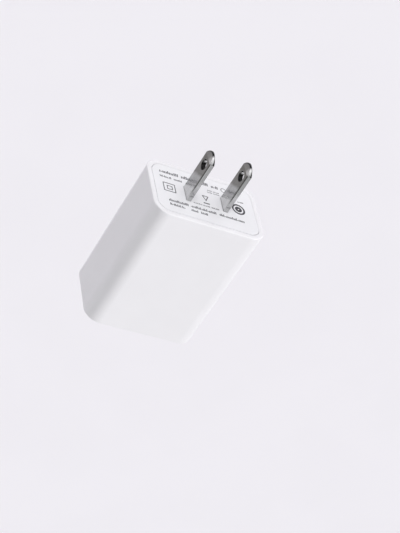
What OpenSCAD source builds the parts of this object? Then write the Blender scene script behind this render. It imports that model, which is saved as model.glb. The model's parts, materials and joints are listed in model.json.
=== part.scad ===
// USB wall charger: a white sleeve closed by two covers, two fixed flat blades and one USB-A socket.
// Frame: the origin is the centre of the face that meets the outlet, +Y points into the outlet, +Z is up.
// All lengths are in millimetres and all angles in degrees.

/* [Body] */
// Width of the casing, along X
body_w = 37.5; // [37:0.5:42]
// Thickness of the casing, along Z
body_t = 24.5; // [24.5:0.5:30]
// Length of the casing, along Y
body_l = 48; // [48:1:60]
// Radius of the casing's four long corners
corner_r = 5.2; // [4:0.1:7]
// Wall thickness of the casing
wall = 1.7; // [1.7:0.1:2.1]
// Rounding of the edges round both ends of the casing
edge_r = 0.4; // [0.3:0.1:1]

/* [Covers] */
// Width of the seam round the USB cover
seam = 0.25; // [0.1:0.05:0.3]
// Width of the seam round the plug cover
plug_seam = 0.1; // [0.05:0.01:0.2]
// Width of the casing's rim beside the plug cover, on the narrow sides
plug_rim = 1.5; // [1.2:0.1:1.9]
// Thickness of the plug cover
plug_cover_t = 2; // [1.6:0.1:2.2]
// Thickness of the USB cover behind its dish
usb_cover_t = 1.4; // [1.2:0.1:1.6]
// Depth of the dish in the USB cover
dish_depth = 1.4; // [0.6:0.1:1.5]
// Width of the slope round the dish
dish_slope = 4.5; // [2:0.5:6]

/* [Blades] */
// How far each blade stands out of the plug cover
blade_len = 16.5; // [15.9:0.1:18.2]
// Width of a blade, along Z
blade_w = 6.35; // [6.2:0.05:6.5]
// Thickness of a blade, along X
blade_t = 1.52; // [1.4:0.01:1.6]
// Distance between the middles of the two blades
blade_pitch = 12.7; // [12.5:0.1:12.9]
// Diameter of the hole in each blade
blade_hole_d = 3.18; // [3:0.01:3.3]
// Distance of that hole from the plug cover
blade_hole_y = 11.8; // [11.5:0.1:12]
// Length of a blade's tip, which is both arched and bevelled
tip_l = 2.1; // [1.5:0.1:3]
// Thickness left at the end of a blade's tip
tip_t = 0.5; // [0.4:0.1:1]
// Radius of the rolled edges on the -X face of each blade
blade_edge_r = 0.4; // [0.1:0.05:0.5]

/* [USB socket] */
// Inner width of the socket's shell
port_w = 12.5; // [12.4:0.05:12.6]
// Inner height of the socket's shell
port_h = 5.12; // [5.05:0.01:5.2]
// Length of the socket's shell
port_l = 14; // [13.6:0.1:14.2]
// Thickness of the shell's sheet metal
sheet_t = 0.3; // [0.25:0.01:0.35]

/* [Board] */
// Thickness of the circuit board
board_t = 1.6; // [1:0.1:1.6]
// Diameter of the component leads
lead_d = 0.6; // [0.4:0.1:0.7]
// Diameter of an input capacitor
input_cap_d = 8; // [6.3:0.1:8]
// Height of an input capacitor
input_cap_h = 12; // [9:0.5:12]
// Diameter of an output capacitor
output_cap_d = 8; // [6.3:0.1:8]
// Height of an output capacitor
output_cap_h = 11; // [9:0.5:12]

/* [Hidden] */
$fn = 64;
overlap = 0.1;

// Inside of the casing
inner_w = body_w - 2 * wall;
inner_t = body_t - 2 * wall;
inner_r = corner_r - wall;
cover_w = inner_w - 2 * seam;
cover_t = inner_t - 2 * seam;
cover_r = inner_r - seam;
plug_pocket_w = body_w - 2 * plug_rim;
plug_pocket_r = inner_r + 0.3;
ledge = 0.8;
ledge_l = 1.2;
ledge_x = 9;
long_ledge = 9;
short_ledge = 5;
short_ledge_z = 3.5;

// USB cover: its inner face is flat and the socket's nose sits in a pocket there
usb_inner_y = -body_l + dish_depth + usb_cover_t;
nose_pocket = 1.1;
nose_gap = 0.1;
mouth_gap = 0.1;
port_y = usb_inner_y - nose_pocket + 0.05;
dish_rim = 0.4;

// Socket: tongue, contact and spring places are measured from the shell's mouth at port_y
shell_w = port_w + 2 * sheet_t;
shell_h = port_h + 2 * sheet_t;
shell_lift = 0.5;
tongue_w = 11.1;
tongue_t = 1.84;
tongue_top = port_h / 2 - 0.64;
tongue_bottom = tongue_top - tongue_t;
tongue_front = 1;
block_front = 10.36;
block_back = 13.8;
contact_x = [-3.5, -1, 1, 3.5];
contact_w = 1;
contact_t = 0.2;
contact_z = 0.5;
contact_pivot = 10.2;
contact_slot_w = 1.2;
knuckle_r = 0.12;
spring_x = 3.1;
spring_w = 2;
spring_pivot = 10;
spring_tip = 4.4;
spring_gap = 0.2;

// Board
board_top = -shell_h / 2 - shell_lift;
board_bottom = board_top - board_t;
board_w = inner_w - 0.4;
board_front_y = -5.6;
board_back_y = usb_inner_y + 0.6;
rail = 1.2;
rail_t = 1;
rail_l = 30;
rail_gap = 0.1;
hole_d = lead_d + 0.3;
lead_out = 1.2;
seat = 0.3;

// Component places on the board, each [x, y]
input_cap_at = [[-11.4, -12.6], [-11.4, -21.6]];
output_cap_at = [[-11.3, -39], [11.3, -39]];
cap_pitch = 3.5;
transformer_at = [1.5, -21.5];
y_cap_at = [12.6, -25];
y_cap_pitch = 5;
choke_at = [-2, -11];
choke_pitch = 3;
fuse_at = [9.4, -11.6];
fuse_pitch = 10.5;
bridge_at = [9.5, -16];
chip_at = [-6, -19.5];
snubber_at = [2, -14.5];
rectifier_at = [-10.4, -33.6];
chip_resistor_at = [
    [-13, -17], [-13, -19.4], [-13, -24], [-2, -19],
    [-2, -22], [9, -33], [9, -36], [14, -17]
];
chip_capacitor_at = [[-13, -26], [-2, -25], [9, -30], [5, -19], [12, -20]];

// Transformer, an E core lying flat with its winding along Y
core_w = 16;
core_l = 14;
core_t = 4.8;
leg_w = 2.4;
middle_leg_w = 4.4;
yoke_l = 2.1;
bobbin_h = 11.4;
bobbin_foot = 0.6;
flange_t = 0.9;
tube_wall = 0.6;
core_air = 0.1;
core_z = board_top + bobbin_foot + bobbin_h / 2;
pin_block = [15, 2.2, 2.4];
pin_row_y = core_l / 2 - pin_block[1] / 2;
transformer_pin_at = concat(
    [for (x = [-5, -2.5, 2.5, 5]) [x, pin_row_y]],
    [for (x = [-5, 0, 5]) [x, -pin_row_y]]
);

// Blade springs stand on the board and press on the blades' tails
tail_len = 7.2;
shoulder = 0.8;
shoulder_y = [-3.4, -2];
boss_l = 2.6;
boss_side = 2;
blade_spring_t = 0.3;
blade_spring_w = 3;
blade_spring_foot = 2.2;
blade_spring_gap = 0.02;
blade_spring_inset = 0.4;

// ---------- shared shapes ----------

// Rectangle with round corners, centred, as exact arcs
module rounded_rect(w, h, r) {
    square([w - 2 * r, h], center = true);
    square([w, h - 2 * r], center = true);
    for (sx = [-1, 1], sy = [-1, 1])
        translate([sx * (w / 2 - r), sy * (h / 2 - r)]) circle(r);
}

// Extrudes an (x, z) outline from y0 to y1
module along_y(y0, y1) {
    translate([0, y1, 0]) rotate([90, 0, 0]) linear_extrude(y1 - y0) children();
}

// Extrudes a (y, z) outline from x0 to x1
module along_x(x0, x1) {
    translate([x0, 0, 0]) rotate([90, 0, 90]) linear_extrude(x1 - x0) children();
}

// Box given by its lowest and highest corners
module box(low, high) {
    translate(low) cube(high - low);
}

// Component lead that runs from inside a body down through the board
module lead(x, y, top) {
    translate([x, y, board_bottom - lead_out])
        cylinder(d = lead_d, h = top - board_bottom + lead_out, $fn = 24);
}

// ---------- casing and covers ----------

// Quarter of a round corner post whose two end edges are rounded
module corner_post(turn) {
    rotate([90, 0, 0]) rotate([0, 0, turn]) rotate_extrude(angle = 90)
        intersection() {
            rounded_rect(2 * corner_r, body_l, edge_r);
            translate([0, -body_l / 2]) square([corner_r, body_l]);
        }
}

// Outside of the casing: two slabs and four corner posts that meet face to face
module casing_outside() {
    flat_x = body_w / 2 - corner_r;
    flat_z = body_t / 2 - corner_r;
    translate([0, -body_l / 2, 0]) {
        along_x(-flat_x, flat_x) rounded_rect(body_l, body_t, edge_r);
        for (s = [-1, 1])
            intersection() {
                translate([0, 0, -flat_z]) linear_extrude(2 * flat_z) rounded_rect(body_w, body_l, edge_r);
                translate([s * (flat_x + corner_r / 2), 0, 0])
                    cube([corner_r, body_l + 2, body_t], center = true);
            }
        translate([flat_x, 0, flat_z]) corner_post(0);
        translate([-flat_x, 0, flat_z]) corner_post(90);
        translate([-flat_x, 0, -flat_z]) corner_post(180);
        translate([flat_x, 0, -flat_z]) corner_post(270);
    }
}

// Ledges inside the casing that a cover rests on, between y0 and y1
module cover_ledges(y0, y1) {
    y = (y0 + y1) / 2;
    for (s = [-1, 1]) {
        for (x = [-ledge_x, ledge_x])
            translate([x, y, s * (inner_t / 2 - ledge / 2 + overlap / 2)])
                cube([long_ledge, y1 - y0, ledge + overlap], center = true);
        translate([s * (inner_w / 2 - ledge / 2 + overlap / 2), y, short_ledge_z])
            cube([ledge + overlap, y1 - y0, short_ledge], center = true);
    }
}

// Pair of rails on each narrow wall that hold the board's edges
module board_rails() {
    y = (board_front_y + board_back_y) / 2;
    for (s = [-1, 1], z = [board_top + rail_gap, board_bottom - rail_gap - rail_t])
        translate([s * (inner_w / 2 - rail / 2 + overlap / 2), y, z + rail_t / 2])
            cube([rail + overlap, rail_l, rail_t], center = true);
}

module casing() {
    color("white") {
        difference() {
            casing_outside();
            along_y(-body_l - 1, 1) rounded_rect(inner_w, inner_t, inner_r);
            along_y(-plug_cover_t, 1) rounded_rect(plug_pocket_w, inner_t, plug_pocket_r);
        }
        cover_ledges(-plug_cover_t - ledge_l, -plug_cover_t);
        cover_ledges(usb_inner_y, usb_inner_y + ledge_l);
        board_rails();
    }
}

// Part of a blade behind the plug face: the tail and a shoulder that locks it in the plug cover
module blade_tail(grow) {
    x = blade_t / 2 + grow;
    z = blade_w / 2 + grow;
    box([-x, -tail_len, -z], [x, overlap, z]);
    box([-x, shoulder_y[0] - grow, -z - shoulder], [x, shoulder_y[1] + grow, z + shoulder]);
}

module plug_cover() {
    boss = [blade_t + 2 * boss_side, boss_l, blade_w + 2 * boss_side];
    fit = 0.02;
    color("white") difference() {
        union() {
            along_y(-plug_cover_t, 0)
                rounded_rect(
                    plug_pocket_w - 2 * plug_seam, inner_t - 2 * plug_seam, plug_pocket_r - plug_seam
                );
            for (s = [-1, 1])
                translate([s * blade_pitch / 2, -plug_cover_t - boss[1] / 2 + overlap / 2, 0])
                    cube([boss[0], boss[1] + overlap, boss[2]], center = true);
        }
        for (s = [-1, 1]) translate([s * blade_pitch / 2, 0, 0]) {
            blade_tail(fit);
            box([-blade_t / 2 - fit, 0, -blade_w / 2 - fit], [blade_t / 2 + fit, 1, blade_w / 2 + fit]);
        }
    }
}

// Hollow of the dish: wide at the outer face and narrower at its floor
module dish_hollow() {
    outer = [cover_w - 2 * dish_rim, cover_t - 2 * dish_rim];
    floor_size = [outer[0] - 2 * dish_slope, outer[1] - 2 * dish_slope];
    hull($fn = 32) {
        along_y(-body_l - 0.5, -body_l) rounded_rect(outer[0], outer[1], cover_r - dish_rim);
        along_y(-body_l, -body_l + dish_depth) rounded_rect(floor_size[0], floor_size[1], 1.2);
    }
}

// Pair of snap arms on the USB cover, with barbs that grip the far side of the casing's ledges
module snap_arms(s) {
    arm_t = 1;
    arm_w = 5;
    arm_gap = 0.15;
    barb_l = 1;
    barb_rise = 0.3;
    arm_end = usb_inner_y + ledge_l + 1.2;
    z = s * (inner_t / 2 - ledge - arm_gap - arm_t / 2);
    for (x = [-ledge_x, ledge_x]) {
        translate([x, (usb_inner_y + arm_end - overlap) / 2, z])
            cube([arm_w, arm_end - usb_inner_y + overlap, arm_t], center = true);
        translate([x, arm_end - barb_l / 2, z + s * barb_rise]) cube([arm_w, barb_l, arm_t], center = true);
    }
}

module usb_cover() {
    collar_l = 0.8;
    collar_side = 1;
    collar_over = 0.3;
    pocket_w = shell_w + 2 * nose_gap;
    pocket_h = shell_h + 2 * nose_gap;
    color("white") difference() {
        union() {
            along_y(-body_l, usb_inner_y) rounded_rect(cover_w, cover_t, cover_r);
            along_y(usb_inner_y - overlap, usb_inner_y + collar_l)
                rounded_rect(pocket_w + 2 * collar_side, pocket_h + 2 * collar_over, 0.3);
            for (s = [-1, 1]) snap_arms(s);
        }
        dish_hollow();
        along_y(-body_l - 1, 0) rounded_rect(port_w + 2 * mouth_gap, port_h + 2 * mouth_gap, 0.3);
        along_y(usb_inner_y - nose_pocket, 0) rounded_rect(pocket_w, pocket_h, 0.4);
    }
}

// ---------- blades and their springs ----------

// Blade with a round tip that is bevelled on both broad faces, a hole near the tip and a locking shoulder
module blade() {
    arch_y = blade_len - tip_l;
    arch_r = (pow(tip_l, 2) + pow(blade_w / 2, 2)) / (2 * tip_l);
    color("silver") difference() {
        union() {
            blade_tail(0);
            intersection() {
                along_x(-blade_t / 2, blade_t / 2) {
                    translate([0, -blade_w / 2]) square([arch_y, blade_w]);
                    intersection() {
                        translate([blade_len - arch_r, 0]) circle(arch_r);
                        translate([arch_y - overlap, -blade_w / 2]) square([tip_l + 1, blade_w]);
                    }
                }
                translate([0, 0, -blade_w / 2]) linear_extrude(blade_w) polygon([
                    [-blade_t / 2, 0],
                    [blade_t / 2, 0],
                    [blade_t / 2, arch_y],
                    [tip_t / 2, blade_len],
                    [-tip_t / 2, blade_len],
                    [-blade_t / 2, arch_y]
                ]);
                along_y(0, blade_len) {
                    rounded_rect(blade_t, blade_w, blade_edge_r);
                    translate([0, -blade_w / 2]) square([blade_t / 2, blade_w]);
                }
            }
        }
        translate([0, blade_hole_y, 0]) rotate([0, 90, 0])
            cylinder(d = blade_hole_d, h = blade_t + 2, center = true);
    }
}

module blade_left() {
    translate([-blade_pitch / 2, 0, 0]) blade();
}

module blade_right() {
    translate([blade_pitch / 2, 0, 0]) blade();
}

// Spring strip on the board that presses on the outer side of a blade's tail
module blade_spring(s) {
    x = blade_pitch / 2 + blade_t / 2 + blade_spring_gap;
    y = board_front_y - blade_spring_inset;
    top = blade_w / 2 - 0.6;
    color("goldenrod") mirror([s > 0 ? 0 : 1, 0, 0]) {
        box([x, y - blade_spring_w, board_top], [x + blade_spring_t, y, top]);
        box([x, y - blade_spring_w, board_top], [x + blade_spring_foot, y, board_top + blade_spring_t]);
        lead(abs(blade_spring_hole(s)[0]), blade_spring_hole(s)[1], board_top + blade_spring_t / 2);
    }
}

// ---------- board and its parts ----------

// Every hole through the board that a component lead goes through
function blade_spring_hole(s) = [
    s * (blade_pitch / 2 + blade_t / 2 + blade_spring_foot - lead_d),
    board_front_y - blade_spring_inset - blade_spring_w / 2
];
function radial_holes(at, pitch) = [for (s = [-1, 1]) [at[0] + s * pitch / 2, at[1]]];
board_holes = concat(
    [for (s = [-1, 1]) blade_spring_hole(s)],
    [for (at = input_cap_at, p = radial_holes(at, cap_pitch)) p],
    [for (at = output_cap_at, p = radial_holes(at, cap_pitch)) p],
    [for (s = [-1, 1]) [y_cap_at[0], y_cap_at[1] + s * y_cap_pitch / 2]],
    radial_holes(choke_at, choke_pitch),
    radial_holes(fuse_at, fuse_pitch),
    [for (p = transformer_pin_at) transformer_at + p]
);

module main_board() {
    slot_w = 1.2;
    slot_at = [-13.5, -29.6];
    slot_l = 11;
    tail_y = port_y + block_back + 0.45;
    tab_y = [port_y + 4, port_y + 11.5];
    color("darkgreen") difference() {
        box([-board_w / 2, board_back_y, board_bottom], [board_w / 2, board_front_y, board_top]);
        for (p = board_holes)
            translate([p[0], p[1], board_bottom - 1]) cylinder(d = hole_d, h = board_t + 2, $fn = 24);
        for (x = contact_x)
            translate([x, tail_y, board_bottom - 1]) cylinder(d = 1.1, h = board_t + 2, $fn = 24);
        for (s = [-1, 1], y = tab_y)
            translate([s * (shell_w / 2 - sheet_t / 2), y, 0])
                cube([sheet_t + 0.3, 1.9, 3 * body_t], center = true);
        translate([slot_at[0], slot_at[1] - slot_w / 2, board_bottom - 1])
            cube([slot_l, slot_w, board_t + 2]);
    }
}

// Electrolytic capacitor standing on the board, with a crimped groove and a scored top
module radial_capacitor(at, d, h, tint) {
    groove_z = 1.6;
    score = 0.2;
    color(tint) translate([at[0], at[1], 0]) {
        difference() {
            translate([0, 0, board_top + seat]) cylinder(d = d, h = h);
            translate([0, 0, board_top + seat + groove_z]) rotate_extrude()
                translate([d / 2 + 0.25, 0]) circle(0.5, $fn = 24);
            translate([0, 0, board_top + seat + h]) cube([d * 0.7, score, 2 * score], center = true);
            translate([0, 0, board_top + seat + h]) cube([score, d * 0.7, 2 * score], center = true);
        }
        for (s = [-1, 1]) lead(s * cap_pitch / 2, 0, board_top + seat + 0.5);
    }
}

module input_capacitor_a() {
    radial_capacitor(input_cap_at[0], input_cap_d, input_cap_h, "darkslategray");
}

module input_capacitor_b() {
    radial_capacitor(input_cap_at[1], input_cap_d, input_cap_h, "darkslategray");
}

module output_capacitor_a() {
    radial_capacitor(output_cap_at[0], output_cap_d, output_cap_h, "midnightblue");
}

module output_capacitor_b() {
    radial_capacitor(output_cap_at[1], output_cap_d, output_cap_h, "midnightblue");
}

// Axial resistor that also serves as the fuse, lying above the board on two bent leads
module fusible_resistor() {
    body_d = 3.2;
    cap_d = 3.5;
    length = 8.4;
    z = board_top + seat + cap_d / 2;
    color("tan") translate([fuse_at[0], fuse_at[1], z]) {
        rotate([0, 90, 0]) cylinder(d = body_d, h = length, center = true);
        for (s = [-1, 1]) {
            translate([s * (length / 2 - 0.7), 0, 0]) rotate([0, 90, 0])
                cylinder(d = cap_d, h = 1.4, center = true);
            translate([s * (fuse_pitch / 2 + length / 2) / 2, 0, 0]) rotate([0, 90, 0])
                cylinder(d = lead_d, h = fuse_pitch / 2 - length / 2 + 0.2, center = true, $fn = 24);
            translate([s * fuse_pitch / 2, 0, 0]) sphere(d = lead_d, $fn = 24);
            translate([0, 0, -z]) lead(s * fuse_pitch / 2, 0, z);
        }
    }
}

// Drum core of the input choke: two flanges on a thin post
module choke_core() {
    color("dimgray") translate([choke_at[0], choke_at[1], board_top + seat]) {
        cylinder(d = 6, h = 1);
        cylinder(d = 2.6, h = 8);
        translate([0, 0, 7]) cylinder(d = 6, h = 1);
    }
    for (s = [-1, 1])
        color("silver") translate([choke_at[0], choke_at[1], 0])
            lead(s * choke_pitch / 2, 0, board_top + seat + 0.5);
}

module choke_winding() {
    gap = 0.05;
    color("peru") translate([choke_at[0], choke_at[1], board_top + seat + 1 + gap])
        difference() {
            cylinder(d = 5.4, h = 6 - 2 * gap);
            translate([0, 0, -1]) cylinder(d = 2.6 + 2 * gap, h = 8);
        }
}

// Surface-mount package on the underside of the board, with count leads on each long side
module flat_package(at, size, count, pitch, tint) {
    lead_w = 0.5;
    lead_reach = 0.9;
    lead_h = 0.5;
    standoff = 0.1;
    top = board_bottom - standoff;
    color(tint) {
        box([at[0] - size[0] / 2, at[1] - size[1] / 2, top - size[2]],
            [at[0] + size[0] / 2, at[1] + size[1] / 2, top]);
        for (s = [-1, 1], k = [0:count - 1])
            translate([
                at[0] + (k - (count - 1) / 2) * pitch,
                at[1] + s * (size[1] / 2 + lead_reach / 2 - overlap / 2),
                0
            ])
                box([-lead_w / 2, -(lead_reach + overlap) / 2, board_bottom - lead_h],
                    [lead_w / 2, (lead_reach + overlap) / 2, board_bottom]);
    }
}

module bridge_rectifier() {
    flat_package(bridge_at, [4.7, 3.9, 1.5], 2, 2.5, "dimgray");
}

module controller_chip() {
    flat_package(chip_at, [4.9, 3.9, 1.45], 4, 1.27, "dimgray");
}

module snubber_diode() {
    flat_package(snubber_at, [2.6, 4.3, 2.1], 1, 1, "dimgray");
}

module output_rectifier() {
    flat_package(rectifier_at, [6.5, 4.6, 1.2], 3, 2, "dimgray");
}

// Chip parts on the underside, each a plain block with its metal ends
module chip_parts(places, h) {
    for (at = places)
        box([at[0] - 1, at[1] - 0.62, board_bottom - h], [at[0] + 1, at[1] + 0.62, board_bottom]);
}

module chip_resistors() {
    color("black") chip_parts(chip_resistor_at, 0.5);
}

module chip_capacitors() {
    color("burlywood") chip_parts(chip_capacitor_at, 0.9);
}

// Ceramic disc capacitor standing on edge across the isolation gap
module y_capacitor() {
    disc_d = 7;
    disc_t = 3;
    z = board_top + 1 + disc_d / 2;
    color("royalblue") translate([y_cap_at[0], y_cap_at[1], 0]) {
        translate([0, 0, z]) rotate([0, 90, 0]) rotate_extrude()
            intersection() {
                rounded_rect(disc_d, disc_t, 1.2);
                translate([0, -disc_t]) square([disc_d, 2 * disc_t]);
            }
        for (s = [-1, 1]) lead(0, s * y_cap_pitch / 2, z - 1);
    }
}

// ---------- transformer ----------

// Bobbin: a square tube between two flanges, on two blocks that hold the pins
module transformer_bobbin() {
    window = core_w - 2 * leg_w;
    flange_w = window - 0.2;
    tube_w = middle_leg_w + 0.2 + 2 * tube_wall;
    tube_h = core_t + 0.2 + 2 * tube_wall;
    length = core_l - 2 * yoke_l - 0.1;
    color("black") translate([transformer_at[0], transformer_at[1], core_z]) difference() {
        union() {
            cube([tube_w, length, tube_h], center = true);
            for (s = [-1, 1]) {
                translate([0, s * (length - flange_t) / 2, 0])
                    cube([flange_w, flange_t, bobbin_h], center = true);
                translate([0, s * pin_row_y, -core_z + board_top + bobbin_foot / 2 + pin_block[2] / 2])
                    cube([pin_block[0], pin_block[1], pin_block[2]], center = true);
                translate([0, s * (length / 2 + 0.3), -core_z + board_top + bobbin_foot + 1])
                    cube([flange_w, 2, 1.6], center = true);
            }
        }
        cube([middle_leg_w + 0.2, core_l, core_t + 0.2], center = true);
        for (p = transformer_pin_at)
            translate([p[0], p[1], -core_z + board_top - 1]) cylinder(d = lead_d + 0.04, h = 2.4, $fn = 24);
    }
}

module transformer_pins() {
    color("silver") for (p = transformer_pin_at)
        lead(transformer_at[0] + p[0], transformer_at[1] + p[1], board_top + 1.3);
}

module transformer_winding() {
    gap = 0.1;
    length = core_l - 2 * yoke_l - 0.1 - 2 * flange_t - 2 * gap;
    color("gold") translate([transformer_at[0], transformer_at[1], core_z]) difference() {
        along_y(-length / 2, length / 2) rounded_rect(10.4, 10.2, 1.5);
        cube([
            middle_leg_w + 0.2 + 2 * tube_wall + 2 * gap, core_l, core_t + 0.2 + 2 * tube_wall + 2 * gap
        ], center = true);
    }
}

// One E-shaped half of the ferrite core, on the side of the middle that s says
module transformer_core_half(s) {
    half = core_l / 2;
    color("dimgray") translate([transformer_at[0], transformer_at[1], core_z]) mirror([0, s > 0 ? 0 : 1, 0]) {
        box([-core_w / 2, half - yoke_l, -core_t / 2], [core_w / 2, half, core_t / 2]);
        box([-middle_leg_w / 2, core_air / 2, -core_t / 2],
            [middle_leg_w / 2, half - yoke_l + overlap, core_t / 2]);
        for (x = [-1, 1])
            translate([x * (core_w - leg_w) / 2, 0, 0])
                box([-leg_w / 2, core_air / 2, -core_t / 2],
                    [leg_w / 2, half - yoke_l + overlap, core_t / 2]);
    }
}

module transformer_core_plug_side() {
    transformer_core_half(1);
}

module transformer_core_usb_side() {
    transformer_core_half(-1);
}

// Tape wrapped once round the two core halves
module transformer_tape() {
    gap = 0.03;
    tape_t = 0.12;
    tape_h = 4;
    color("gold") translate([transformer_at[0], transformer_at[1], core_z]) difference() {
        cube([core_w + 2 * gap + 2 * tape_t, core_l + 2 * gap + 2 * tape_t, tape_h], center = true);
        cube([core_w + 2 * gap, core_l + 2 * gap, tape_h + 1], center = true);
    }
}

// ---------- USB socket ----------

// Window in the shell that one spring is cut from
module spring_window(x, s) {
    translate([x, port_y + (spring_tip + spring_pivot) / 2, s * (port_h + sheet_t) / 2])
        cube([
            spring_w + 2 * spring_gap, spring_pivot - spring_tip + 2 * spring_gap + 0.1, 2 * sheet_t
        ], center = true);
}

module usb_shell() {
    tab_l = board_t + 0.9;
    color("dimgray") difference() {
        union() {
            along_y(port_y, port_y + port_l) rounded_rect(shell_w, shell_h, 0.5);
            for (s = [-1, 1], y = [port_y + 4, port_y + 11.5])
                translate([s * (shell_w - sheet_t) / 2, y, board_top - tab_l / 2 + shell_lift])
                    cube([sheet_t, 1.6, tab_l + 2 * shell_lift + 1], center = true);
        }
        along_y(port_y - 1, port_y + port_l + 1) rounded_rect(port_w, port_h, 0.2);
        box([-port_w / 2 + 0.3, port_y + block_front + 0.2, -shell_h],
            [port_w / 2 - 0.3, port_y + port_l + 1, 0]);
        for (x = [-spring_x, spring_x], s = [-1, 1]) spring_window(x, s);
    }
}

// Insulator: the block at the back of the shell and the tongue with its four contact slots
module usb_tongue() {
    play = 0.05;
    fit = 0.02;
    color("gainsboro") difference() {
        union() {
            box([-port_w / 2 + play, port_y + block_front, -port_h / 2 + play],
                [port_w / 2 - play, port_y + block_back, port_h / 2 - play]);
            box([-tongue_w / 2, port_y + tongue_front, tongue_bottom],
                [tongue_w / 2, port_y + block_front + overlap, tongue_top]);
        }
        for (x = contact_x) {
            box([x - contact_slot_w / 2, port_y + 1.6, tongue_bottom - 1],
                [x + contact_slot_w / 2, port_y + block_front, tongue_bottom + 1.25]);
            box([x - contact_w / 2 - fit, port_y + block_front - overlap, contact_z - contact_t / 2 - fit],
                [x + contact_w / 2 + fit, port_y + block_back + 1, contact_z + contact_t / 2 + fit]);
        }
    }
}

// Fixed part of each contact: through the block, then down through the board
module usb_contact_tails() {
    tail_y = port_y + block_back + 0.45;
    color("goldenrod") for (x = contact_x) {
        box([x - contact_w / 2, port_y + block_front, contact_z - contact_t / 2],
            [x + contact_w / 2, tail_y + contact_t / 2, contact_z + contact_t / 2]);
        box([x - 0.35, tail_y - contact_t / 2, board_bottom - lead_out],
            [x + 0.35, tail_y + contact_t / 2, contact_z]);
    }
}

// Springy part of a contact. It turns about its knuckle, and a plug pushes its crown up into the slot.
module usb_contact(k) {
    half_t = contact_t / 2;
    crown = [4, -0.4];
    tip = [2.2, 0.35];
    color("gold") translate([0, port_y, 0]) {
        along_x(contact_x[k] - contact_w / 2, contact_x[k] + contact_w / 2)
            polygon([
                [contact_pivot, contact_z + half_t],
                [crown[0] + 0.3, crown[1] + half_t + 0.02],
                [crown[0] - 0.3, crown[1] + half_t + 0.02],
                [tip[0], tip[1] + half_t],
                [tip[0] - 0.1, tip[1] - half_t],
                [crown[0] - 0.35, crown[1] - half_t],
                [crown[0] + 0.35, crown[1] - half_t],
                [contact_pivot, contact_z - half_t]
            ]);
        translate([contact_x[k] - contact_w / 2, contact_pivot, contact_z]) rotate([0, 90, 0])
            cylinder(r = knuckle_r, h = contact_w, $fn = 24);
    }
}

// Spring cut from the shell. Its dimple reaches into the socket, and a plug pushes it outwards.
module shell_spring(sx, sz) {
    z = (port_h + sheet_t) / 2;
    half_t = sheet_t / 2 - 0.03;
    dimple = [5.5, z - 0.5];
    tip = [spring_tip, z - 0.05];
    x = sx * spring_x;
    color("dimgray") mirror([0, 0, sz > 0 ? 0 : 1]) translate([0, port_y, 0]) {
        along_x(x - spring_w / 2, x + spring_w / 2)
            polygon([
                [spring_pivot, z + half_t],
                [7.2, z + half_t],
                [dimple[0] + 0.3, dimple[1] + half_t],
                [dimple[0] - 0.3, dimple[1] + half_t],
                [tip[0], tip[1] + half_t],
                [tip[0], tip[1] - half_t],
                [dimple[0] - 0.35, dimple[1] - half_t],
                [dimple[0] + 0.35, dimple[1] - half_t],
                [7.2, z - half_t],
                [spring_pivot, z - half_t]
            ]);
        translate([x - spring_w / 2, spring_pivot, z]) rotate([0, 90, 0])
            cylinder(r = half_t, h = spring_w, $fn = 24);
    }
}

casing();
plug_cover();
usb_cover();
blade_left();
blade_right();
blade_spring(-1);  // blade_spring_left
blade_spring(1);  // blade_spring_right
main_board();
fusible_resistor();
choke_core();
choke_winding();
bridge_rectifier();
input_capacitor_a();
input_capacitor_b();
controller_chip();
snubber_diode();
transformer_bobbin();
transformer_winding();
transformer_core_plug_side();
transformer_core_usb_side();
transformer_tape();
transformer_pins();
y_capacitor();
output_rectifier();
output_capacitor_a();
output_capacitor_b();
chip_resistors();
chip_capacitors();
usb_shell();
usb_tongue();
usb_contact_tails();
usb_contact(0);  // usb_contact_1
usb_contact(1);  // usb_contact_2
usb_contact(2);  // usb_contact_3
usb_contact(3);  // usb_contact_4
shell_spring(-1, 1);  // shell_spring_top_left
shell_spring(1, 1);  // shell_spring_top_right
shell_spring(-1, -1);  // shell_spring_bottom_left
shell_spring(1, -1);  // shell_spring_bottom_right
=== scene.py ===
"""Looks of the USB wall charger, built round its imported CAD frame. Lengths named _MM are in millimetres."""

import json
import math
import random

import bmesh
import bpy
from mathutils import Matrix, Vector


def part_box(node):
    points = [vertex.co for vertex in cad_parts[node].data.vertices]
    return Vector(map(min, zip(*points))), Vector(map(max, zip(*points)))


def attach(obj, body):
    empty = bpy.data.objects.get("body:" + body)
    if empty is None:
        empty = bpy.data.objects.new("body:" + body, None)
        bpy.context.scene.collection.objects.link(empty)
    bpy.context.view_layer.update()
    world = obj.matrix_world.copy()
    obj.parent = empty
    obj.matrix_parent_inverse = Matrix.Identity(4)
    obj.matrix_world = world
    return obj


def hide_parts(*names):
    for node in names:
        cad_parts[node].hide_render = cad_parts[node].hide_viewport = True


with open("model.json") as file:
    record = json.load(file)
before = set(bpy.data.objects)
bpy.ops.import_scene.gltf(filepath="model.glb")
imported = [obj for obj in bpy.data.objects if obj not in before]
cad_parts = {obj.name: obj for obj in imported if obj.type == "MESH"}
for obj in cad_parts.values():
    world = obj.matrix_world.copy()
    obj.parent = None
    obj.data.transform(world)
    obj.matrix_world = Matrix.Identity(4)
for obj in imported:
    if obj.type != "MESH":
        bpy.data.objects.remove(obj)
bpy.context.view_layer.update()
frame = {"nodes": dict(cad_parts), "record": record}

MM = 0.001
CHARGER = "charger"
OVERLAP_MM = 0.05

# ---------- sizes, from the frame where it has them ----------

casing_low, casing_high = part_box("casing")
WIDTH_MM = (casing_high.x - casing_low.x) / MM
LENGTH_MM = (casing_high.y - casing_low.y) / MM
THICK_MM = (casing_high.z - casing_low.z) / MM
CORNER_MM = 5.2
WALL_MM = 1.7
END_ROUND_MM = 0.4
POCKET_EDGE_MM = 0.18

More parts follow.
